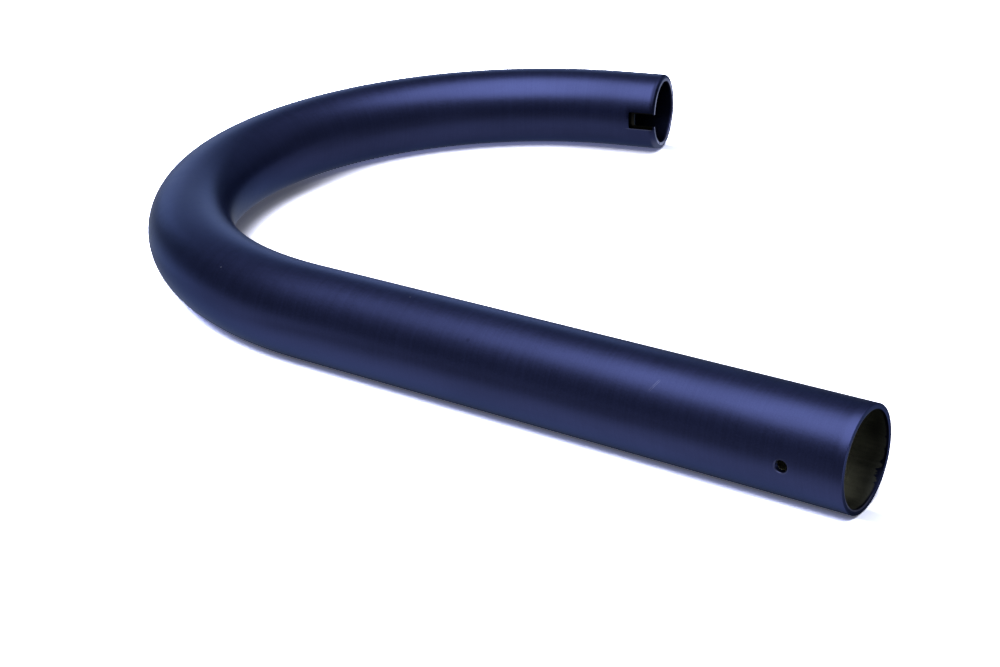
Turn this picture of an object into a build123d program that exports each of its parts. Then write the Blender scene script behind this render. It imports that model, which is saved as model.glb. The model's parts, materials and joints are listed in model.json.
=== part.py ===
from build123d import *
import math
import os

# Gooseneck spout of a pull-down kitchen tap, lying flat: one bent brass tube.
# The origin is the centre of the inlet end. The inlet mouth faces +X, the tube runs
# back along -X, and the bend turns it round towards +Y in the XY plane.

# Tube section
tube_od = 28.0
tube_wall = 1.5

# Centreline, from the inlet end to the outlet end
inlet_leg = 175.5
bend_radius = 107.5
bend_angle = 166.5
outlet_leg = 18.0

# Outlet mouth: the wall is thicker here, with a rounded nose
mouth_wall = 2.5
mouth_seat_past_notch = 3.0
mouth_ramp_angle = 45.0
nose_radius = 1.2
mouth_edge_radius = 0.3

# Key notch in the outlet mouth, on the inside of the bend, in two steps: wide and long
# as deep as the tube's own wall, narrower and shorter through the thicker part within
notch_width = 6.4
notch_length = 9.6
lip_notch_width = 4.8
lip_notch_length = 7.8
notch_corner_radius = 0.6

# Cross hole for the fixing screw, on the outside of the inlet leg
screw_hole_diameter = 3.3
screw_hole_from_end = 16.0
screw_hole_edge_break = 0.2

# Broken edges of the inlet rim
rim_edge_break = 0.2

# Sizes that follow from those above
tube_radius = tube_od / 2
bore_radius = tube_radius - tube_wall
mouth_radius = tube_radius - mouth_wall
mouth_seat = notch_length + mouth_seat_past_notch
mouth_step = bore_radius - mouth_radius
mouth_ramp = mouth_step / math.tan(math.radians(mouth_ramp_angle))


# The centreline is straight, then one arc, then a short straight
with BuildLine() as centreline:
    inlet_run = Line((0, 0), (-inlet_leg, 0))
    bend = JernArc(inlet_run @ 1, inlet_run % 1, bend_radius, -bend_angle)
    outlet_run = Line(bend @ 1, bend @ 1 + outlet_leg * (bend % 1))

# Outlet plane: its Z points out of the mouth, its X to the inside of the bend.
# The mouth's section plane has the radius as X and the depth from the end as Y.
mouth_axis = outlet_run % 1
to_inside = mouth_axis.rotate(Axis.Z, -90)
outlet_plane = Plane(origin=outlet_run @ 1, x_dir=to_inside, z_dir=mouth_axis)
mouth_section = Plane(origin=outlet_plane.origin, x_dir=to_inside, z_dir=(0, 0, -1))
notch_plane = Plane(origin=outlet_plane.origin, x_dir=mouth_axis, z_dir=to_inside)


def rim_edges(plane, radius):
    """Full circles of one radius that lie in an end plane."""
    return [
        edge
        for edge in spout.edges().filter_by(GeomType.CIRCLE)
        if abs(edge.radius - radius) < 1e-3
        and abs(plane.to_local_coords(edge.arc_center).Z) < 1e-3
        and edge.is_closed
    ]


def notch_cut(width, length, from_radius):
    """What a notch of one width and length takes away outside a radius of the mouth."""
    with BuildPart() as cut:
        with BuildSketch(notch_plane) as outline:
            Rectangle(length, width, align=(Align.MAX, Align.CENTER))
            fillet(outline.vertices().group_by(Axis.X)[0], notch_corner_radius)
        extrude(amount=tube_od)
        with BuildSketch(outlet_plane):
            Circle(from_radius)
        extrude(amount=-tube_od, mode=Mode.SUBTRACT)
    return cut.part


with BuildPart() as spout:
    # Tube: the ring section carried along the centreline
    inlet_plane = Plane(origin=inlet_run @ 0, z_dir=inlet_run % 0)
    with BuildSketch(inlet_plane):
        Circle(tube_radius)
        Circle(bore_radius, mode=Mode.SUBTRACT)
    sweep(path=centreline.line)

    # Thicker wall at the mouth, turned about the outlet axis, with a ramp back to the bore
    with BuildSketch(mouth_section):
        with BuildLine():
            Polyline(
                (mouth_radius, 0),
                (tube_radius - tube_wall / 2, 0),
                (tube_radius - tube_wall / 2, mouth_seat + mouth_ramp),
                (bore_radius, mouth_seat + mouth_ramp),
                (mouth_radius, mouth_seat),
                close=True,
            )
        make_face()
    revolve(axis=Axis(outlet_plane.origin, mouth_axis), revolution_arc=360)

    # Key notch, open to the mouth, through the wall on the inside of the bend in two steps
    add(notch_cut(notch_width, notch_length, bore_radius), mode=Mode.SUBTRACT)
    add(notch_cut(lip_notch_width, lip_notch_length, mouth_radius / 2), mode=Mode.SUBTRACT)

    # The mouth is turned to a rounded nose outside and an eased edge inside
    with BuildSketch(mouth_section):
        for wall_face, into_wall, radius in (
            (tube_radius, -1, nose_radius),
            (mouth_radius, 1, mouth_edge_radius),
        ):
            with BuildLine():
                on_end = (wall_face + into_wall * radius, 0)
                on_wall = (wall_face, radius)
                RadiusArc(on_end, on_wall, into_wall * radius)
                Polyline(
                    on_wall,
                    (wall_face - into_wall * radius, radius),
                    (wall_face - into_wall * radius, -radius),
                    (wall_face + into_wall * radius, -radius),
                    on_end,
                )
            make_face()
    revolve(
        axis=Axis(outlet_plane.origin, mouth_axis),
        revolution_arc=360,
        mode=Mode.SUBTRACT,
    )

    # Broken edges of the inlet rim
    for rim_radius in (tube_radius, bore_radius):
        chamfer(rim_edges(inlet_plane, rim_radius), rim_edge_break)

    # Screw hole through the one wall that faces away from the outlet, with its edge broken
    hole_plane = Plane(origin=(-screw_hole_from_end, -tube_radius, 0), z_dir=(0, -1, 0))
    with Locations(hole_plane.location):
        CounterSinkHole(
            radius=screw_hole_diameter / 2,
            counter_sink_radius=screw_hole_diameter / 2 + screw_hole_edge_break,
            depth=tube_radius,
        )

spout_tube = spout.part
spout_tube.label = "spout_tube"

os.makedirs("parts", exist_ok=True)
export_step(spout_tube, "parts/spout_tube.step")
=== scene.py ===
import json
import math

import bpy
from bpy.props import FloatProperty, FloatVectorProperty, IntProperty, PointerProperty
from mathutils import Matrix, Quaternion, Vector


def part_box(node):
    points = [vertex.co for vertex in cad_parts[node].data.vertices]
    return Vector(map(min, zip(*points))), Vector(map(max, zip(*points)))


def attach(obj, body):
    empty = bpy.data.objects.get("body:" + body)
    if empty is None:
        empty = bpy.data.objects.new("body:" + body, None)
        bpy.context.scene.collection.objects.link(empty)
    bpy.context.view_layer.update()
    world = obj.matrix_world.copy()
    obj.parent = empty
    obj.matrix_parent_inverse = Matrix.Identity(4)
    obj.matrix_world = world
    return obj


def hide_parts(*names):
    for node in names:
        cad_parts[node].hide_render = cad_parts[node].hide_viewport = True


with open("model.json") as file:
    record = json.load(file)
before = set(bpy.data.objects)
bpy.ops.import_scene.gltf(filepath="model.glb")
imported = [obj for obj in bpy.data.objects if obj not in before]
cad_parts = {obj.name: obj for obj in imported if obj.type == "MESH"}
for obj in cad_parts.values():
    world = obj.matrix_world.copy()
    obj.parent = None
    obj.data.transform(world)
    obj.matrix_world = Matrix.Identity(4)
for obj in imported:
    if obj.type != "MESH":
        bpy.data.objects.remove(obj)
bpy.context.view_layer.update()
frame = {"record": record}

bl_info = {
    "name": "Tap spout",
    "version": (1, 0, 0),
    "blender": (4, 5, 0),
    "location": "View3D > Sidebar > Spout",
    "description": "Models a bent, coated brass tap spout and the pale table it lies on",
    "category": "Add Mesh",
}

TUBE_NODE = "spout_tube"
TUBE_SLOT = frame["record"]["materials"][0]["slot"]

# The place that every lamp faces
MIDDLE = Vector((-0.13, 0.10, 0))

# Millimetres in a metre, for the tube's pattern
MM = 1000.0


class SpoutSizes(bpy.types.PropertyGroup):
    """Sizes of the tube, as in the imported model."""

    outside_radius: FloatProperty(
        name="Outside radius", description="Radius of the outside of the tube",
        default=0.014, unit="LENGTH")
    bore_radius: FloatProperty(
        name="Bore radius", description="Radius of the bare bore",
        default=0.0125, unit="LENGTH")
    mouth_radius: FloatProperty(
        name="Mouth radius", description="Radius of the bore at the outlet mouth",
        default=0.0115, unit="LENGTH")
    inlet_leg: FloatProperty(
        name="Inlet leg", description="Straight length from the inlet end to the bend",
        default=0.1755, unit="LENGTH")
    bend_radius: FloatProperty(
        name="Bend radius", description="Radius of the bend at the middle of the tube",
        default=0.1075, unit="LENGTH")
    bend_angle: FloatProperty(
        name="Bend angle", description="How far the bend turns the tube round",
        default=math.radians(166.5), subtype="ANGLE")
    outlet_leg: FloatProperty(
        name="Outlet leg", description="Straight length from the bend to the outlet end",
        default=0.018, unit="LENGTH")
    mouth_seat: FloatProperty(
        name="Mouth seat", description="How far the thicker wall of the mouth runs in",
        default=0.0126, unit="LENGTH")
    nose_radius: FloatProperty(
        name="Nose radius", description="Radius of the rounded outer edge of the mouth",
        default=0.0012, unit="LENGTH")
    mouth_edge_radius: FloatProperty(
        name="Mouth edge", description="Radius of the eased inner edge of the mouth",
        default=0.0003, unit="LENGTH")
    rim_edge: FloatProperty(
        name="Rim edge", description="Size of the broken edges of the inlet rim",
        default=0.0002, unit="LENGTH")
    notch_width: FloatProperty(
        name="Notch width", description="Width of the notch as deep as the tube's own wall",
        default=0.0064, unit="LENGTH")
    notch_length: FloatProperty(
        name="Notch length", description="Length of that step from the outlet end",
        default=0.0096, unit="LENGTH")
    lip_notch_width: FloatProperty(
        name="Lip notch width", description="Width of the notch through the mouth's thick wall",
        default=0.0048, unit="LENGTH")
    lip_notch_length: FloatProperty(
        name="Lip notch length", description="Length of that step from the outlet end",
        default=0.0078, unit="LENGTH")
    notch_corner: FloatProperty(
        name="Notch corner", description="Radius of the two back corners of the notch",
        default=0.0006, unit="LENGTH")
    hole_radius: FloatProperty(
        name="Screw hole radius", description="Radius of the screw hole",
        default=0.00165, unit="LENGTH")
    hole_from_end: FloatProperty(
        name="Screw hole from end", description="Distance of the screw hole from the inlet end",
        default=0.016, unit="LENGTH")
    hole_edge: FloatProperty(
        name="Screw hole edge", description="Size of the broken edge of the screw hole",
        default=0.0002, unit="LENGTH")
    facets: IntProperty(
        name="Facets", description="Number of faces round the tube", default=128)
    leg_steps: IntProperty(
        name="Leg steps", description="Number of faces along the inlet leg", default=64)
    bend_steps: IntProperty(
        name="Bend steps", description="Number of faces along the bend", default=112)


class SpoutFinish(bpy.types.PropertyGroup):
    """Colours and gloss of the coat and of the bare brass."""

    coat_colour: FloatVectorProperty(
        name="Coat colour", description="Colour of the satin coat",
        default=(0.0445, 0.0555, 0.156), subtype="COLOR")
    coat_edge_tint: FloatVectorProperty(
        name="Coat edge tint", description="Tint of the coat where it is seen at a low angle",
        default=(0.51, 0.58, 0.72), subtype="COLOR")
    coat_roughness: FloatProperty(
        name="Coat roughness", description="How dull the satin coat is",
        default=0.38, subtype="FACTOR")
    grain_depth: FloatProperty(
        name="Grain depth", description="Depth of the coat's grain and of the brass's lines",
        default=0.00005, unit="LENGTH")
    # Painted highlights on rims and edges, and pale dots and scratches, take this colour.
    highlight_and_speck_colour: FloatVectorProperty(
        name="Highlight and speck colour", description="Colour of painted highlights on rims and edges, and of pale dots and scratches",
        default=(0.66, 0.70, 0.98), subtype="COLOR")
    cut_colour: FloatVectorProperty(
        name="Cut colour", description="Dark olive colour of the cut faces of the notch",
        default=(0.030, 0.029, 0.024), subtype="COLOR")
    brass_colour: FloatVectorProperty(
        name="Brass colour", description="Colour of the bare drawn brass in the bore",
        default=(0.80, 0.81, 0.60), subtype="COLOR")
    # Also painted as shade deep in the bore.
    mist_and_shade_brass: FloatVectorProperty(
        name="Mist and shade brass", description="Colour of the brass that spray mist reached, also painted as shade deep in the bore",
        default=(0.036, 0.037, 0.027), subtype="COLOR")
    brass_roughness: FloatProperty(
        name="Brass roughness", description="How dull the bare brass is",
        default=0.46, subtype="FACTOR")
    brass_film: FloatProperty(
        name="Brass film", description="How much of the brass's shine a dull film takes",
        default=0.65, subtype="FACTOR")


class StageLook(bpy.types.PropertyGroup):
    """Table, lamps and camera."""

    table_size: FloatProperty(
        name="Table size", description="Width of the table",
        default=16.0, unit="LENGTH")
    sheet_colour: FloatVectorProperty(
        name="Sheet colour", description="Colour of the sheet under the spout",
        default=(0.20, 0.20, 0.20), subtype="COLOR")
    glare_inside: FloatVectorProperty(
        name="Glare inside the bend",
        description="How bright the sheet inside the bend looks from the camera",
        default=(2.7, 2.75, 3.2), max=10.0)
    glare_outside: FloatVectorProperty(
        name="Glare outside the bend",
        description="How bright the sheet outside the bend looks from the camera",
        default=(4.75, 4.95, 5.9), max=10.0)
    shadow_colour: FloatVectorProperty(
        name="Shadow colour", description="Tint of the darkest part of the shadow",
        default=(0.74, 0.78, 1.0), subtype="COLOR")
    shadow_lift: FloatProperty(
        name="Shadow lift", description="How light the darkest part of the shadow stays",
        default=0.09, subtype="FACTOR")
    outer_strip: FloatProperty(
        name="Outer strip", description="Brightness of the sheet round the spout, as mirrored",
        default=0.74)
    inner_strip: FloatProperty(
        name="Inner strip", description="Brightness of the sheet inside the bend, as mirrored",
        default=0.39)
    back_strip: FloatProperty(
        name="Back strip", description="Brightness of the sheet behind, as mirrored",
        default=0.45)
    inlet_patch: FloatProperty(
        name="Inlet patch", description="Brightness of the sheet before the inlet, as mirrored",
        default=0.85)
    lamp_radiance: FloatProperty(
        name="Lamp brightness", description="Brightness of the large lamp overhead",
        default=2.62)
    lamp_size: FloatProperty(
        name="Lamp size", description="Width of the large lamp overhead",
        default=2.7, unit="LENGTH")
    window_radiance: FloatProperty(
        name="Window brightness", description="Brightness of the low window behind the bend",
        default=1.45)
    wall_radiance: FloatProperty(
        name="Wall brightness", description="Brightness of the pale wall at the back",
        default=0.10)
    room_colour: FloatVectorProperty(
        name="Room colour", description="Colour of the light from all round",
        default=(0.115, 0.12, 0.137), subtype="COLOR")
    camera_place: FloatVectorProperty(
        name="Camera place", description="Where the camera stands",
        default=(0.162241, -0.374496, 0.214138), unit="LENGTH")
    camera_target: FloatVectorProperty(
        name="Camera target", description="The place in the middle of the picture",
        default=(-0.118657, 0.015766, 0), unit="LENGTH")
    camera_roll: FloatProperty(
        name="Camera roll", description="How far the camera is tilted to one side",
        default=math.radians(-2.019), subtype="ANGLE")
    camera_lens: FloatProperty(
        name="Camera lens", description="Focal length in mm, for a 36 mm sensor",
        default=67.638)


class Value:
    """A number or colour that varies over a surface: a node's output, with arithmetic."""

    def __init__(self, finish, socket):
        self.finish = finish
        self.socket = socket

    def calculate(self, operation, *terms):
        return self.finish.node("ShaderNodeMath", {"operation": operation}, terms)

    def __add__(self, other):
        return self.calculate("ADD", self, other)

    def __sub__(self, other):
        return self.calculate("SUBTRACT", self, other)

    def __rsub__(self, other):
        return self.calculate("SUBTRACT", other, self)

    def __mul__(self, other):
        return self.calculate("MULTIPLY", self, other)

    __radd__ = __add__
    __rmul__ = __mul__

    def __neg__(self):
        return self * -1.0

    def __abs__(self):
        return self.calculate("ABSOLUTE", self)

    def least(self, other):
        return self.calculate("MINIMUM", self, other)

    def most(self, other):
        return self.calculate("MAXIMUM", self, other)

    def root(self):
        return self.calculate("SQRT", self)

    def bearing(self, other):
        """The angle whose tangent is this number over another."""
        return self.calculate("ARCTAN2", self, other)

    def rise(self, low, high):
        """0 below low, 1 above high, with a soft step between; falls where high is the lower."""
        settings = {"interpolation_type": "SMOOTHSTEP"}
        places = {"Value": self, "From Min": low, "From Max": high}
        return self.finish.node("ShaderNodeMapRange", settings, places)

    def other(self, name):
        """Another output of the same node."""
        return Value(self.finish, self.socket.node.outputs[name])


class Finish:
    """The nodes of a material, or of the room, under construction."""

    def __init__(self, owner, ending):
        """Clears the owner's nodes; ending is the kind of output node that it will have."""
        owner.use_nodes = True
        self.owner = owner
        self.ending = ending
        self.tree = owner.node_tree
        self.tree.nodes.clear()

    def node(self, kind, settings, places, output=0):
        """Adds a node, with its settings first and then its sockets, and gives one output."""
        made = self.tree.nodes.new(kind)
        for name, setting in settings.items():
            setattr(made, name, setting)
        named = places.items() if isinstance(places, dict) else enumerate(places)
        for place, content in named:
            socket = made.inputs[place]
            if isinstance(content, Value):
                self.tree.links.new(content.socket, socket)
            else:
                socket.default_value = content
        return Value(self, made.outputs[output]) if made.outputs else None

    def split(self, vector):
        """The three parts of a vector."""
        x = self.node("ShaderNodeSeparateXYZ", {}, (vector,))
        return x, x.other("Y"), x.other("Z")

    def stretch(self, vector, factors):
        return self.node("ShaderNodeVectorMath", {"operation": "MULTIPLY"}, (vector, factors))

    def noise(self, vector, per_unit, detail=2.0, roughness=0.5):
        """Soft noise with its own pitch along each axis."""
        places = {
            "Vector": self.stretch(vector, per_unit),
            "Scale": 1.0,
            "Detail": detail,
            "Roughness": roughness,
        }
        return self.node("ShaderNodeTexNoise", {}, places)

    def spot(self, off_x, off_y, core, edge):
        """A round spot: 1 within its core and 0 beyond its edge."""
        return (off_x * off_x + off_y * off_y).root().rise(edge, core)

    def mix(self, factor, first, second):
        """Goes from the first colour to the second as the factor goes from 0 to 1."""
        first, second = (
            colour if isinstance(colour, Value) else opaque(colour) for colour in (first, second))
        places = {0: factor, 6: first, 7: second}
        return self.node("ShaderNodeMix", {"data_type": "RGBA"}, places, output=2)

    def closed(self, shader):
        """Ends the nodes in a shader."""
        self.node(self.ending, {}, {"Surface": shader})
        return self.owner


def opaque(colour):
    return (*colour, 1.0)


def times(share, colour):
    return [share * part for part in colour]


class TubeSkin:
    """Places on the tube's skin in millimetres, and the patterns that run over it.

    along is from the inlet end, side is to the inside of the bend, and up is up.
    """

    def __init__(self, made, sizes):
        run = made.node("ShaderNodeAttribute", {"attribute_name": "run"}, {}, output=1)
        point = made.stretch(run, (MM, MM, MM))
        self.made = made
        self.along, self.side, self.up = made.split(point)
        self.radius = (self.side * self.side + self.up * self.up).root()
        self.from_outlet = MM * tube_length(sizes) - self.along
        self.outside = MM * sizes.outside_radius
        self.bore = MM * sizes.bore_radius
        self.mouth = MM * sizes.mouth_radius
        self.hole = MM * sizes.hole_radius
        self.half_notch = MM * sizes.notch_width / 2
        self.notch_length = MM * sizes.notch_length
        self.round_tube = self.outside * self.up.bearing(-self.side)
        past_hole = self.along - MM * sizes.hole_from_end
        self.from_hole = (past_hole * past_hole + self.up * self.up).root()

        self.ragged = made.noise(point, (0.1, 0.42, 0.42), 3.0, 0.6)
        self.patchy = made.noise(point, (0.0, 0.11, 0.11))
        self.fine_patch = made.noise(point, (0.5, 0.8, 0.8), 3.0)
        self.grain = made.noise(point, (2.6, 2.6, 2.6), 2.0, 0.6)
        self.brushing = made.noise(point, (1.6, 0.05, 0.05), 3.0, 0.6)
        self.cloud = made.noise(point, (0.03, 0.10, 0.10), 3.0)
        self.draw_lines = made.noise(point, (0.03, 1.1, 1.1), 3.0, 0.55)
        self.film = made.noise(point, (0.05, 0.16, 0.16), 3.0)

    def off(self, along, degrees):
        """How far the skin is from a mark, along and round the tube from its outer side."""
        return self.along - along, self.round_tube - self.outside * math.radians(degrees)


def bare_brass(on):
    """The bare bore, past a thin band of overspray that is deeper in two ragged patches."""
    side_patch = on.made.spot(on.side - 12.2, on.up + 1.1, core=0.8, edge=2.2)
    foot_patch = on.made.spot(on.side - 9.6, on.up + 8.0, core=1.6, edge=4.0)
    patches = side_patch.most(foot_patch) * on.ragged.rise(0.40, 0.66)
    reach = 0.45 + 0.5 * on.ragged + 1.7 * patches
    inside = on.radius.rise(on.bore + 0.28, on.bore + 0.18)
    past_overspray = (on.along - reach).rise(-0.2, 0.3)
    before_outlet = (on.from_outlet - 30.0 + 8.0 * on.ragged).rise(-2.0, 2.0)
    hole_wall = on.from_hole.rise(on.hole + 0.65, on.hole + 0.45) * on.side.rise(-2.0, -4.0)
    hole_wall = hole_wall * on.radius.rise(on.bore + 0.02, on.bore + 0.06)
    return inside * past_overspray * before_outlet * (1 - hole_wall)


def notch_faces(on):
    """The cut faces of the notch."""
    return (
        abs(on.up).rise(on.half_notch + 0.1, on.half_notch + 0.03)
        * on.from_outlet.rise(on.notch_length + 0.1, on.notch_length + 0.03)
        * on.side.rise(8.0, 9.0)
        * on.radius.rise(on.outside - 0.02, on.outside - 0.07)
        * on.radius.rise(on.mouth + 0.02, on.mouth + 0.07)
        * on.from_outlet.rise(0.5, 1.0)
    )


def near_notch(on):
    """The outside of the tube round the notch."""
    near_end = on.from_outlet.rise(on.notch_length + 2.0, on.notch_length - 0.5)
    on_skin = on.radius.rise(on.outside - 0.1, on.outside - 0.02)
    return near_end * on.side.rise(4.0, 7.0) * on_skin


def painted_rim_highlight(on):
    """Painted highlight on the flat end of the outlet, broken into patches."""
    ring = on.from_outlet.rise(0.30, 0.08) * on.radius.rise(on.outside - 1.2, on.outside - 1.6)
    return ring * (0.45 + 0.65 * on.patchy.rise(0.35, 0.6)) * on.fine_patch.rise(0.2, 0.5)


def painted_edge_highlights(on):
    """Painted highlights on edges: inside the inlet rim on the bend's outer side, round the screw
    hole and under the notch, and a painted reflection under the nose.
    """
    inlet_line = on.along.rise(0.32, 0.18) * on.radius.rise(on.bore + 0.50, on.bore + 0.30)
    inlet_line = inlet_line * on.side.rise(6.0, -6.0) * (0.5 + 0.5 * on.patchy.rise(0.35, 0.6))
    hole_line = on.from_hole.rise(on.hole + 0.50, on.hole + 0.30) * on.side.rise(-10.0, -12.0)
    hole_line = hole_line * on.radius.rise(on.outside - 0.35, on.outside - 0.15)
    notch_line = near_notch(on) * on.up.rise(-on.half_notch - 0.32, -on.half_notch - 0.22)
    notch_line = notch_line * on.up.rise(-on.half_notch, -on.half_notch - 0.06)
    nose_foot = on.from_outlet.rise(2.2, 1.0) * on.up.rise(-6.0, -12.0)
    nose_foot = nose_foot * on.radius.rise(on.outside - 1.5, on.outside - 1.0)
    return (
        (0.45 * inlet_line)
        .most(0.045 * hole_line)
        .most(0.13 * notch_line)
        .most(0.22 * nose_foot)
    )


def pale_marks(on):
    """Small flaws on top of the tube: two pale dots and a fine double scratch."""
    clear_dot = on.made.spot(*on.off(along=200.9, degrees=48.4), core=0.12, edge=0.34)
    faint_dot = on.made.spot(*on.off(along=135.9, degrees=81.9), core=0.10, edge=0.30)

    slant = math.radians(25.5)
    past, round_from = on.off(along=53.5, degrees=47.3)
    lengthwise = math.cos(slant) * round_from - math.sin(slant) * past
    across = math.cos(slant) * past + math.sin(slant) * round_from
    lines = abs(across).rise(0.11, 0.04).most(abs(across - 0.42).rise(0.10, 0.03))
    scratch = lines * abs(lengthwise).rise(2.3, 1.3) * on.fine_patch.rise(0.25, 0.5)
    return (0.45 * clear_dot).most(0.27 * faint_dot).most(0.09 * scratch)


def painted_shade_and_spot(on):
    """Painted shade over the notch and round the nose's inner side, and one dark spot on top."""
    over_notch = near_notch(on) * on.up.rise(on.half_notch + 2.6, on.half_notch)
    over_notch = over_notch * on.up.rise(0.0, 1.0)
    nose = on.from_outlet.rise(2.3, 1.2) * on.radius.rise(on.outside - 1.4, on.outside - 1.0)
    nose = nose * on.side.rise(3.0, 9.0) * on.up.rise(-7.0, -1.0)
    dark_spot = on.made.spot(*on.off(along=110.7, degrees=44.6), core=0.25, edge=0.85)
    dark_spot = dark_spot * on.ragged.rise(0.2, 0.5)
    return (0.62 * over_notch).most(0.72 * nose).most(0.30 * dark_spot)


def coat_colour(on, look):
    """Navy coat with fine grain, faint brushing round the tube and clouds, pale dots and a scratch,
    and painted shade and highlights.
    """
    made = on.made
    shade = 0.30 * on.grain + 0.25 * on.brushing + 0.45 * on.cloud
    coat = made.mix(
        shade.rise(0.35, 0.65), times(0.88, look.coat_colour), times(1.12, look.coat_colour))
    # Painted shade inside the outlet's mouth: the coat there is darkened.
    in_mouth = on.radius.rise(on.mouth + 0.4, on.mouth + 0.1)
    in_mouth = in_mouth * on.from_outlet.rise(34.0, 30.0) * on.from_outlet.rise(0.4, 1.2)
    coat = made.mix(in_mouth, coat, times(0.4, look.coat_colour))
    # The overspray coat inside the inlet is real; darkening it to a small share of the coat is
    # painted shade in the bore.
    oversprayed = on.radius.rise(on.bore + 0.12, on.bore + 0.04) * on.along.rise(14.0, 12.0)
    coat = made.mix(oversprayed, coat, times(0.12, look.coat_colour))
    # Painted shade over the notch and round the nose, and one dark spot on top.
    coat = made.mix(painted_shade_and_spot(on), coat, times(0.15, look.coat_colour))

    in_notch = notch_faces(on)
    # Painted highlights on the outlet's flat end and on edges, with real pale dots and a scratch,
    # all in one pale colour.
    bright = (painted_rim_highlight(on) * (1 - in_notch)).most(painted_edge_highlights(on)).most(pale_marks(on))
    coat = made.mix(bright.least(1.0), coat, look.highlight_and_speck_colour)
    # Painted shade: the cut faces darken at the back end of the notch's wider step.
    step_corner = on.from_outlet.rise(on.notch_length - 1.0, on.notch_length - 0.5)
    cut = made.mix(step_corner, look.cut_colour, times(0.35, look.cut_colour))
    return made.mix(in_notch, coat, cut)


def brass_colour(on, look):
    """Brass streaked along the tube: misted near the rim, clean within, and painted shade further
    in.
    """
    made = on.made
    streaks = (0.45 * on.draw_lines + 0.55 * on.film).rise(0.34, 0.66)
    misted = made.mix(streaks, times(0.75, look.mist_and_shade_brass), times(1.20, look.mist_and_shade_brass))
    clean = made.mix(streaks, times(0.80, look.brass_colour), look.brass_colour)
    brass = made.mix((on.along + 6.0 * (on.film - 0.5)).rise(2.5, 19.0), misted, clean)
    # Painted shade: the brass darkens deep in the bore.
    return made.mix(0.92 * on.along.rise(21.0, 27.0), brass, look.mist_and_shade_brass)


def coated_brass(sizes, look):
    """Satin navy coat outside and over the rims; bare drawn brass inside the inlet leg."""
    made = Finish(bpy.data.materials.new(TUBE_SLOT), "ShaderNodeOutputMaterial")
    on = TubeSkin(made, sizes)
    bare = bare_brass(on)
    coat_roughness = look.coat_roughness + 0.12 * (on.brushing - 0.5) + 0.14 * (on.grain - 0.5)
    brass_roughness = look.brass_roughness + 0.16 * (on.draw_lines - 0.5)
    height = bare * on.draw_lines + (1 - bare) * (0.7 * on.grain + 0.5 * on.brushing)
    bump = made.node(
        "ShaderNodeBump", {}, {"Strength": 0.4, "Distance": look.grain_depth, "Height": height})
    surface = made.node(
        "ShaderNodeBsdfPrincipled",
        {},
        {
            "Base Color": made.mix(bare, coat_colour(on, look), brass_colour(on, look)),
            "Metallic": 1 - look.brass_film * bare,
            "Specular Tint": opaque(look.coat_edge_tint),
            "Roughness": coat_roughness + bare * (brass_roughness - coat_roughness),
            "Normal": bump,
        },
    )
    return made.closed(surface)


def out_of_bend(sizes, x, y):
    """How far the table is from the tube's centreline: out of the bend above 0, into it below."""
    off_x = (x + sizes.inlet_leg).least(0.0)
    off_y = y - sizes.bend_radius
    return (off_x * off_x + off_y * off_y).root() - sizes.bend_radius


def mirrored_sheet(made, look, x, y, out):
    """Painted glow of the sheet, seen only in the coat's reflections: brightest close round the
    tube.
    """
    beside = out.rise(0.004, 0.013)
    outer = out.rise(0.060, 0.018) * beside * x.rise(0.03, 0.0) * y.rise(0.21, 0.17)
    far_left = out.rise(0.22, 0.06) * beside * x.rise(-0.25, -0.31) * y.rise(0.26, 0.20)
    in_crown = x.rise(-0.19, -0.23)
    before_outlet_leg = y.rise(0.09, 0.13) * x.rise(-0.10, -0.14)
    inner = out.rise(-0.060, -0.022) * before_outlet_leg.most(in_crown)
    inner = inner * (1 + 0.45 * in_crown * y.rise(0.12, 0.09))
    behind = y.rise(0.21, 0.24) * x.rise(0.0, -0.1) * (1 - 0.6 * x.rise(-0.30, -0.38))
    before_inlet = made.spot(x - 0.11, y, core=0.07, edge=0.13) * x.rise(0.0, 0.03)
    return (
        (look.outer_strip * outer)
        .most(far_left)
        .most(look.inner_strip * inner)
        .most(look.back_strip * behind)
        .most(look.inlet_patch * before_inlet)
    )


def seen_sheet(made, look, x, y, out):
    """The sheet from the camera: painted shadow where the tube touches it, painted shade in the
    crown, and painted light beside the crown.
    """
    outside = out.rise(-0.004, 0.0)
    glare = made.mix(outside, look.glare_inside, look.glare_outside)
    # Painted shadow along the line where the tube touches the sheet.
    at_touch = 0.32 + 1.30 * out.rise(0.0038, 0.0080)
    at_crown = x.rise(-0.19, -0.25) * y.rise(0.155, 0.105)
    crown_shade = 1 - 0.88 * at_crown * out.rise(-0.0195, -0.0095)
    # Painted light: the sheet beside the crown is made lighter.
    beside_crown = 1 + 0.45 * x.rise(-0.20, -0.225) * (1 - at_crown)
    shade = outside * at_touch + (1 - outside) * crown_shade * beside_crown
    return made.node(
        "ShaderNodeVectorMath", {"operation": "SCALE"}, {0: glare, "Scale": shade})


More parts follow.
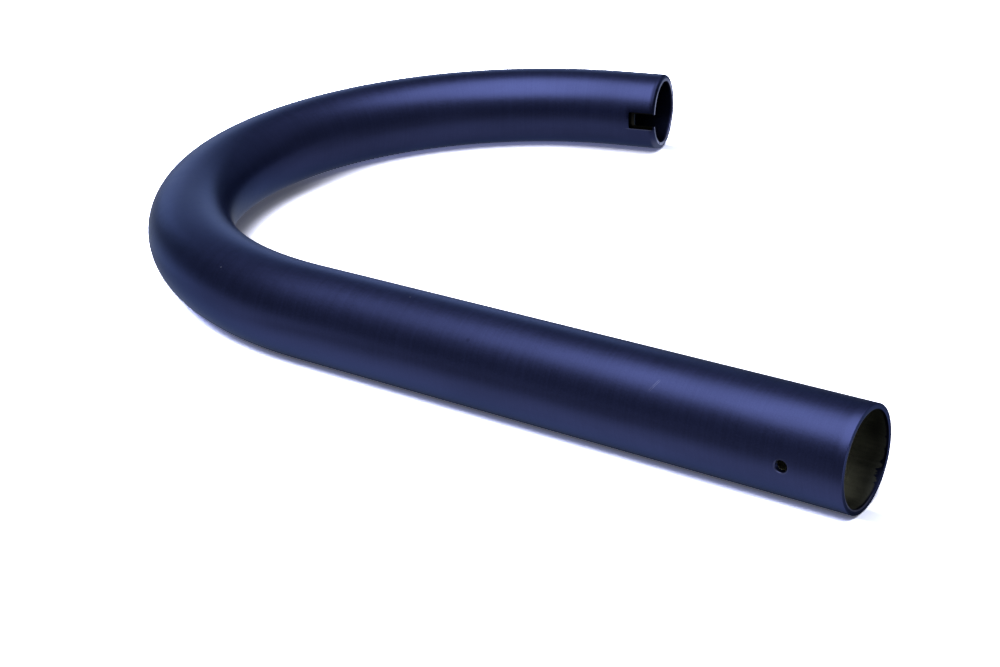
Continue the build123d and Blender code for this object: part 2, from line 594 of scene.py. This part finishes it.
def pale_table(sizes, look):
    """Matt white sheet that keeps the spout's shadow and stays white behind it, with painted shadow
    and shade near the tube as the camera sees it, and a painted glow round the tube seen only in
    reflections.
    """
    made = Finish(bpy.data.materials.new("pale_table"), "ShaderNodeOutputMaterial")
    x, y, _ = made.split(made.node("ShaderNodeTexCoord", {}, {}, output=3))
    out = out_of_bend(sizes, x, y)
    seen = made.node("ShaderNodeLightPath", {}, {})
    mirrored = seen.other("Is Glossy Ray").most(seen.other("Is Transmission Ray"))
    colour = made.mix(seen, look.sheet_colour, seen_sheet(made, look, x, y, out))
    matt = made.node("ShaderNodeBsdfDiffuse", {}, {"Color": colour})
    tint = made.mix(seen, (1, 1, 1), look.shadow_colour)
    glow = made.node("ShaderNodeEmission", {}, {"Color": tint, "Strength": 1.0})
    # Painted glow round the tube, seen only in reflections, and a small lift of the shadows for the
    # camera.
    lift = (look.shadow_lift * seen).most(mirrored * mirrored_sheet(made, look, x, y, out))
    return made.closed(made.node("ShaderNodeMixShader", {}, (lift, matt, glow)))


def pale_room(look):
    """Even, dim light from all round, behind a white background."""
    made = Finish(bpy.data.worlds.new("room"), "ShaderNodeOutputWorld")
    seen = made.node("ShaderNodeLightPath", {}, {})
    dim = made.node("ShaderNodeBackground", {}, {"Color": opaque(look.room_colour)})
    white = made.node("ShaderNodeBackground", {}, {"Color": opaque((1, 1, 1))})
    return made.closed(made.node("ShaderNodeMixShader", {}, (seen, dim, white)))


def lamp_towards(name, azimuth, elevation, distance, radiance, size, height=None):
    """An area lamp that faces the middle of the spout from a direction.

    Its angles are in degrees, and 0 is the camera's side (-Y), 90 is +X. It is round, or as
    high as height says.
    """
    turn, rise = math.radians(azimuth), math.radians(elevation)
    towards = Vector((
        math.sin(turn) * math.cos(rise), -math.cos(turn) * math.cos(rise), math.sin(rise)))
    aim = (-towards).to_track_quat("-Z", "Y").to_euler()
    bpy.ops.object.light_add(type="AREA", location=MIDDLE + towards * distance, rotation=aim)
    lamp = bpy.context.object
    lamp.name = name
    lamp.data.size = size
    if height is None:
        lamp.data.shape = "DISK"
        area = math.pi * size * size / 4
    else:
        lamp.data.shape = "RECTANGLE"
        lamp.data.size_y = height
        area = size * height
    lamp.data.energy = radiance * math.pi * area


def nothing_selected():
    """Leaves edit mode and deselects everything."""
    if bpy.context.object and bpy.context.object.mode != "OBJECT":
        bpy.ops.object.mode_set(mode="OBJECT")
    bpy.ops.object.select_all(action="DESELECT")


def only(piece):
    """Makes one object the selected and active one."""
    nothing_selected()
    piece.select_set(True)
    bpy.context.view_layer.objects.active = piece


def place_applied(piece):
    """Moves an object's place, turn and scale into its mesh."""
    only(piece)
    bpy.ops.object.transform_apply(location=True, rotation=True, scale=True)


def faced_outwards():
    """Turns all faces of the mesh in edit mode outwards, and leaves edit mode."""
    bpy.ops.mesh.select_all(action="SELECT")
    bpy.ops.mesh.normals_make_consistent(inside=False)
    bpy.ops.object.mode_set(mode="OBJECT")


def carried(step):
    """Extrudes what is selected by one step."""
    bpy.ops.mesh.extrude_region_move(TRANSFORM_OT_translate={"value": step})


def turned_profile(centre, axis, profile):
    """Carries the ring through a profile of (distance moved, radius) pairs, first pair the start."""
    (start, radius), *rest = profile
    for place, new_radius in rest:
        centre = centre + axis * (place - start)
        carried(axis * (place - start))
        if abs(new_radius - radius) > 1e-9:
            factor = new_radius / radius
            bpy.ops.transform.resize(value=(factor, factor, factor), center_override=centre)
        start, radius = place, new_radius


def even_steps(start, end, count, radius):
    """Profile pairs of one radius at even distances, the start left out."""
    return [(start + (end - start) * n / count, radius) for n in range(1, count + 1)]


def rounded_nose(start, radius, size, steps=10):
    """Profile pairs of a quarter round that turns in, the start left out."""
    angles = [math.radians(90 * n / steps) for n in range(1, steps + 1)]
    return [
        (start + size * math.sin(angle), radius - size * (1 - math.cos(angle)))
        for angle in angles
    ]


def eased_edge(radius, size, steps=4):
    """Profile pairs of a quarter round from the flat end into the mouth."""
    angles = [math.radians(90 * n / steps) for n in range(steps + 1)]
    return [
        (size * (1 - math.cos(angle)), radius + size * (1 - math.sin(angle)))
        for angle in angles
    ]


def tube_length(sizes):
    """Length of the tube along its centreline."""
    return sizes.inlet_leg + sizes.bend_radius * sizes.bend_angle + sizes.outlet_leg


def turn_centre(sizes):
    """The point that the bend turns about."""
    return Vector((-sizes.inlet_leg, sizes.bend_radius, 0))


def outlet_place(sizes):
    """The outlet end's centre and the direction that the mouth faces."""
    turn = sizes.bend_angle
    heading = Vector((-math.cos(turn), math.sin(turn), 0))
    spoke = Vector((-math.sin(turn), -math.cos(turn), 0)) * sizes.bend_radius
    return turn_centre(sizes) + spoke + heading * sizes.outlet_leg, heading


def to_inside(heading):
    """The direction from the outlet's axis to the inside of the bend."""
    return Vector((heading.y, -heading.x, 0))


def tongue(sizes, width, length):
    """A flat bar with rounded back corners, as wide and long as one step of the notch.

    It lies as if the outlet's axis were X, with the end at 0 and the notch on top.
    """
    overrun = 0.004
    bottom = 0.6 * sizes.mouth_radius
    top = 1.3 * sizes.outside_radius
    nothing_selected()
    bpy.ops.mesh.primitive_plane_add(size=1)
    bar = bpy.context.object
    bar.scale = (length + overrun, width, 1)
    bar.location = ((overrun - length) / 2, 0, bottom)
    place_applied(bar)
    bpy.ops.object.mode_set(mode="EDIT")
    bpy.ops.mesh.select_all(action="DESELECT")
    bpy.ops.object.mode_set(mode="OBJECT")
    for vertex in bar.data.vertices:
        vertex.select = vertex.co.x < 0
    bpy.ops.object.mode_set(mode="EDIT")
    bpy.ops.mesh.bevel(offset=sizes.notch_corner, segments=6, affect="VERTICES")
    bpy.ops.mesh.select_all(action="SELECT")
    carried((0, 0, top - bottom))
    faced_outwards()
    return bar


def at_outlet(sizes, bar):
    """Takes a notch tool from its drawing place to the outlet."""
    outlet, heading = outlet_place(sizes)
    inside = to_inside(heading)
    across = inside.cross(heading)
    bar.matrix_world = Matrix((
        (heading.x, across.x, inside.x, outlet.x),
        (heading.y, across.y, inside.y, outlet.y),
        (heading.z, across.z, inside.z, outlet.z),
        (0, 0, 0, 1),
    ))
    place_applied(bar)
    return bar


def outer_notch_cutter(sizes):
    """Waste of the notch's wide step, which goes as deep as the tube's own wall."""
    bar = tongue(sizes, sizes.notch_width, sizes.notch_length)
    nothing_selected()
    bpy.ops.mesh.primitive_cylinder_add(
        vertices=sizes.facets, radius=sizes.bore_radius, depth=6 * sizes.notch_length,
        rotation=(0, math.radians(90), 0))
    core = bpy.context.object
    place_applied(core)
    cut_away(bar, core)
    return at_outlet(sizes, bar)


def inner_notch_cutter(sizes):
    """Waste of the notch's narrow step, through the thicker wall of the mouth."""
    return at_outlet(sizes, tongue(sizes, sizes.lip_notch_width, sizes.lip_notch_length))


def screw_hole_cutter(sizes):
    """The screw hole's waste: a round drill that widens where it breaks the outer edge."""
    outward = Vector((0, -1, 0))
    within_bore = 0.002
    start = Vector((-sizes.hole_from_end, within_bore - sizes.bore_radius, 0))
    nothing_selected()
    bpy.ops.mesh.primitive_circle_add(
        vertices=sizes.facets // 2, radius=sizes.hole_radius, fill_type="NGON", location=start,
        rotation=(math.radians(90), 0, 0))
    drill = bpy.context.object
    place_applied(drill)
    bpy.ops.object.mode_set(mode="EDIT")
    bpy.ops.mesh.select_all(action="SELECT")
    to_taper = sizes.outside_radius + start.y - sizes.hole_edge
    widened = 3 * sizes.hole_edge
    turned_profile(start, outward, [
        (0, sizes.hole_radius),
        (to_taper, sizes.hole_radius),
        (to_taper + widened, sizes.hole_radius + widened),
    ])
    faced_outwards()
    return drill


def cut_away(piece, waste):
    """Takes a cutter's volume out of a piece, and the cutter with it."""
    only(piece)
    bpy.ops.object.modifier_add(type="BOOLEAN")
    cut = piece.modifiers[-1]
    cut.operation = "DIFFERENCE"
    cut.solver = "MANIFOLD"
    cut.object = waste
    bpy.ops.object.modifier_apply(modifier=cut.name)
    bpy.data.objects.remove(waste)


def straightened(sizes, point):
    """Where a point would be if the tube were straight: along it, to the inside, and up."""
    if point.x > -sizes.inlet_leg and point.y < sizes.bend_radius:
        return Vector((-point.x, point.y, point.z))
    spoke = point - turn_centre(sizes)
    turned = math.atan2(-spoke.x, -spoke.y) % (2 * math.pi)
    if turned <= sizes.bend_angle:
        inward = sizes.bend_radius - math.hypot(spoke.x, spoke.y)
        return Vector((sizes.inlet_leg + sizes.bend_radius * turned, inward, point.z))
    outlet, heading = outlet_place(sizes)
    from_end = point - outlet
    return Vector((
        tube_length(sizes) + from_end.dot(heading), from_end.dot(to_inside(heading)), point.z))


def rim_crest(sizes):
    """How deep the middle of the rim's broken edge lies; half the edge's size would be flat."""
    return 0.3 * sizes.rim_edge


def bent(sizes, angle):
    """Spins the ring round the bend, back again where the angle is below 0."""
    bpy.ops.mesh.spin(
        steps=sizes.bend_steps, angle=angle, center=turn_centre(sizes), axis=(0, 0, 1))


def outer_wall(sizes):
    """Carries the ring from the inlet rim up the outside, over the nose to the flat end."""
    outside, edge, nose = sizes.outside_radius, sizes.rim_edge, sizes.nose_radius
    crest = rim_crest(sizes)
    turned_profile(
        Vector((0, 0, 0)), Vector((-1, 0, 0)),
        [(0, outside - edge), (crest, outside - crest), (edge, outside)]
        + even_steps(edge, sizes.inlet_leg, count=sizes.leg_steps, radius=outside))
    bent(sizes, sizes.bend_angle)
    outlet, heading = outlet_place(sizes)
    nose_start = sizes.outlet_leg - nose
    turned_profile(
        outlet - heading * sizes.outlet_leg, heading,
        [(0, outside)]
        + even_steps(0, nose_start, count=16, radius=outside)
        + rounded_nose(nose_start, outside, nose)
        + [(sizes.outlet_leg, flat_end_radius(sizes))])


def inner_wall(sizes):
    """Carries the ring on through the mouth and its ramp, and down the bore to the rim."""
    outside, bore, mouth = sizes.outside_radius, sizes.bore_radius, sizes.mouth_radius
    edge, seat = sizes.rim_edge, sizes.mouth_seat
    crest = rim_crest(sizes)
    outlet, heading = outlet_place(sizes)
    ramp_end = seat + bore - mouth
    turned_profile(
        outlet, -heading,
        [(0, flat_end_radius(sizes))]
        + eased_edge(mouth, sizes.mouth_edge_radius)
        + even_steps(sizes.mouth_edge_radius, seat, count=12, radius=mouth)
        + [(ramp_end, bore)]
        + even_steps(ramp_end, sizes.outlet_leg, count=4, radius=bore))
    bent(sizes, -sizes.bend_angle)
    turned_profile(
        Vector((-sizes.inlet_leg, 0, 0)), Vector((1, 0, 0)),
        [(0, bore)]
        + even_steps(0, sizes.inlet_leg - edge, count=sizes.leg_steps, radius=bore)
        + [
            (sizes.inlet_leg - crest, bore + crest),
            (sizes.inlet_leg, bore + edge),
            (sizes.inlet_leg, outside - edge),
        ])


def flat_end_radius(sizes):
    """Radius of the middle of the outlet's flat end."""
    nose_foot = sizes.outside_radius - sizes.nose_radius
    return (nose_foot + sizes.mouth_radius + sizes.mouth_edge_radius) / 2


class SPOUT_OT_tube(bpy.types.Operator):
    """Model the bent tube, with its notch and screw hole, and give it its finish"""

    bl_idname = "spout.tube"
    bl_label = "Spout tube"

    def execute(self, context):
        sizes = context.scene.spout_sizes
        nothing_selected()
        bpy.ops.mesh.primitive_circle_add(
            vertices=sizes.facets, radius=sizes.outside_radius - sizes.rim_edge,
            fill_type="NOTHING", rotation=(0, math.radians(90), 0))
        tube = bpy.context.object
        tube.name = tube.data.name = "coated_spout_tube"
        place_applied(tube)
        bpy.ops.object.mode_set(mode="EDIT")
        bpy.ops.mesh.select_all(action="SELECT")
        outer_wall(sizes)
        inner_wall(sizes)
        bpy.ops.mesh.select_all(action="SELECT")
        bpy.ops.mesh.remove_doubles(threshold=1e-5)
        faced_outwards()

        for cutter in (outer_notch_cutter, inner_notch_cutter, screw_hole_cutter):
            cut_away(tube, cutter(sizes))
        only(tube)
        bpy.ops.object.shade_smooth_by_angle(angle=math.radians(32))

        run = tube.data.attributes.new("run", "FLOAT_VECTOR", "POINT")
        run.data.foreach_set("vector", [
            part for vertex in tube.data.vertices for part in straightened(sizes, vertex.co)])
        tube.data.materials.clear()
        tube.data.materials.append(coated_brass(sizes, context.scene.spout_finish))
        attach(tube, "root")
        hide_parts(TUBE_NODE)
        return {"FINISHED"}


class SPOUT_OT_stage(bpy.types.Operator):
    """Lay the pale table, hang the lamps and set up the camera"""

    bl_idname = "spout.stage"
    bl_label = "Table, lamps and camera"

    def execute(self, context):
        look = context.scene.spout_stage
        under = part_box(TUBE_NODE)[0][2]
        nothing_selected()
        bpy.ops.mesh.primitive_plane_add(size=look.table_size)
        table = bpy.context.object
        table.name = table.data.name = "table"
        table.location = (-0.1, 0.1, under)
        place_applied(table)
        table.data.materials.append(pale_table(context.scene.spout_sizes, look))

        lamp_towards(
            "soft_lamp", azimuth=12, elevation=78, distance=2.0,
            radiance=look.lamp_radiance, size=look.lamp_size)
        lamp_towards(
            "low_window", azimuth=-127, elevation=11, distance=2.0,
            radiance=look.window_radiance, size=1.85, height=0.7)
        lamp_towards(
            "back_wall", azimuth=170, elevation=42, distance=2.5,
            radiance=look.wall_radiance, size=2.2)
        context.scene.world = pale_room(look)

        place = Vector(look.camera_place)
        aim = (Vector(look.camera_target) - place).to_track_quat("-Z", "Y")
        roll = Quaternion((0, 0, 1), look.camera_roll)
        bpy.ops.object.camera_add(location=place, rotation=(aim @ roll).to_euler())
        camera = bpy.context.object
        camera.name = "camera"
        camera.data.sensor_width = 36
        camera.data.sensor_fit = "HORIZONTAL"
        camera.data.lens = look.camera_lens
        camera.data.clip_start = 0.01
        context.scene.camera = camera
        context.scene.view_settings.view_transform = "Standard"
        return {"FINISHED"}


class SPOUT_PT_panel(bpy.types.Panel):
    """Lists the spout's pieces, sizes and colours."""

    bl_idname = "SPOUT_PT_panel"
    bl_label = "Tap spout"
    bl_space_type = "VIEW_3D"
    bl_region_type = "UI"
    bl_category = "Spout"

    def draw(self, context):
        scene = context.scene
        for group in (scene.spout_sizes, scene.spout_finish, scene.spout_stage):
            box = self.layout.box()
            for name in group.__annotations__:
                box.prop(group, name)
        self.layout.operator(SPOUT_OT_tube.bl_idname)
        self.layout.operator(SPOUT_OT_stage.bl_idname)


CLASSES = (SpoutSizes, SpoutFinish, StageLook, SPOUT_OT_tube, SPOUT_OT_stage, SPOUT_PT_panel)


def register():
    for kind in CLASSES:
        bpy.utils.register_class(kind)
    bpy.types.Scene.spout_sizes = PointerProperty(type=SpoutSizes)
    bpy.types.Scene.spout_finish = PointerProperty(type=SpoutFinish)
    bpy.types.Scene.spout_stage = PointerProperty(type=StageLook)


def unregister():
    del bpy.types.Scene.spout_stage
    del bpy.types.Scene.spout_finish
    del bpy.types.Scene.spout_sizes
    for kind in reversed(CLASSES):
        bpy.utils.unregister_class(kind)


def main():
    register()
    bpy.ops.spout.stage()
    bpy.ops.spout.tube()


if __name__ == "__main__":
    main()
